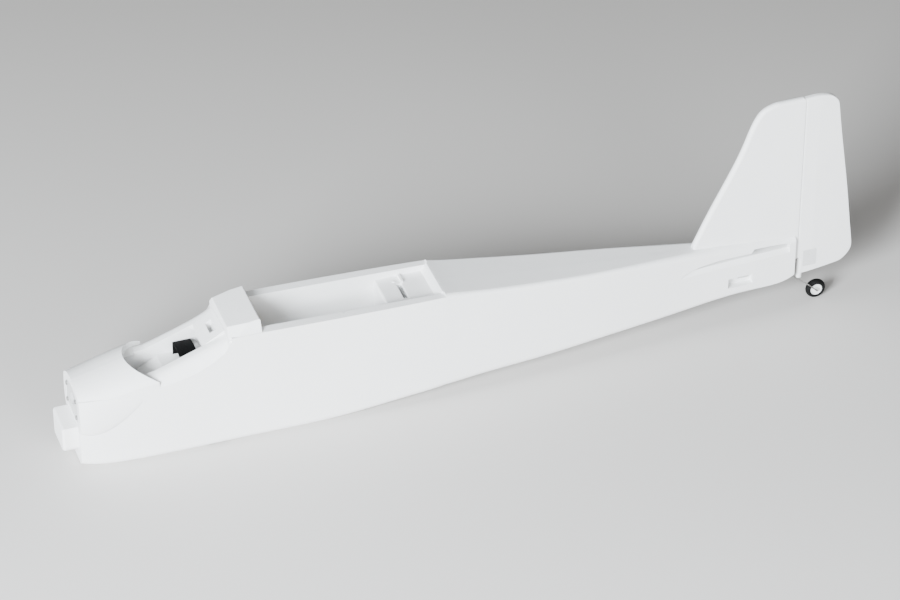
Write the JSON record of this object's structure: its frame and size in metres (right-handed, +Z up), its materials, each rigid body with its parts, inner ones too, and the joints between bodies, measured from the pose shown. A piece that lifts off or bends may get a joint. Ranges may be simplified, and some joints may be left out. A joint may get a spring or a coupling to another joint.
{
  "type": "model aeroplane fuselage",
  "caption": "Moulded white foam fuselage of a high-wing model aeroplane, with integral fin, hinged rudder, steerable tail wheel and open wing and battery bays.",
  "frame": {"origin": "on the ground under the middle of the overall length, in the plane of symmetry", "axes": "+X to the nose, +Y to port, +Z up"},
  "size_m": [0.9858, 0.083, 0.2957],
  "materials": {
    "foam": "matte",
    "plywood": "matte",
    "hook_and_loop": "matte",
    "grey_plastic": "satin",
    "white_plastic": "satin",
    "black_plastic": "satin",
    "carbon": "satin",
    "steel": "satin",
    "tyre_foam": "matte"
  },
  "bodies": {
    "fuselage": {"fuselage_left": "foam", "fuselage_right": "foam", "wing_bridge": "foam", "saddle_former": "plywood", "wing_shelf": "foam", "hatch_socket": "foam", "battery_tray": "white_plastic", "battery_strap": "hook_and_loop", "motor_mount": "grey_plastic", "mount_screws": "steel", "chin_block": "foam", "gear_block": "grey_plastic", "boom_rods": "carbon", "hinge_leaves": "white_plastic"},
    "rudder": {"rudder": "foam", "rudder_post": "white_plastic", "horn_plate": "white_plastic", "hinge_pins": "steel", "tailwheel_wire": "steel", "wheel_collar": "black_plastic"},
    "tail_wheel": {"wheel_hub": "white_plastic", "tyre": "tyre_foam"}
  },
  "joints": [
    {"name": "rudder_hinge", "type": "hinge", "parent": "fuselage", "child": "rudder", "pos_m": [-0.4235, 0, 0.15], "axis": [0, 0, 1], "range_deg": [-30, 30]},
    {"name": "tail_wheel_spin", "type": "hinge", "parent": "rudder", "child": "tail_wheel", "pos_m": [-0.4497, 0, 0.0125], "axis": [0, 1, 0], "continuous": true}
  ]
}
